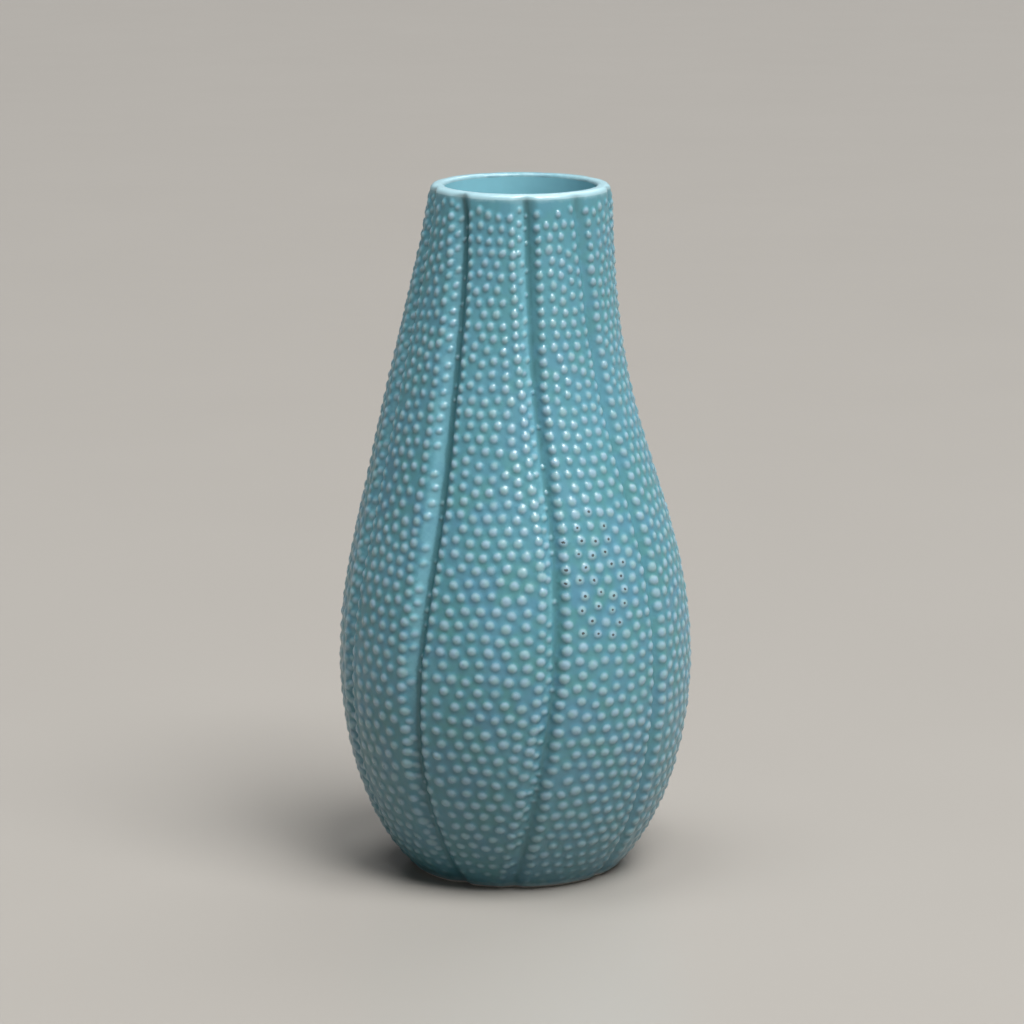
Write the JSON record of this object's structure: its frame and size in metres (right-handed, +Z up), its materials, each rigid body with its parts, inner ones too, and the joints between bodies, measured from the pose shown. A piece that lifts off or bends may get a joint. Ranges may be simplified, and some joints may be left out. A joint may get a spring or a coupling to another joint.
{
  "type": "ceramic bud vase",
  "caption": "Lobed ceramic bud vase with a rounded belly, straight neck, round throat and bare clay foot ring.",
  "frame": {"origin": "centre of the foot, on the plane that the vase stands on", "axes": "+Z up through the mouth; -Y is the side that faces the camera in the picture; +X is to its right"},
  "size_m": [0.1059, 0.1062, 0.21],
  "materials": {
    "bare_clay": "matt",
    "outer_glaze": "gloss",
    "liner_glaze": "gloss"
  },
  "bodies": {
    "root": {"clay_body": "bare_clay", "outer_glaze": "outer_glaze", "liner_glaze": "liner_glaze"}
  },
  "joints": []
}
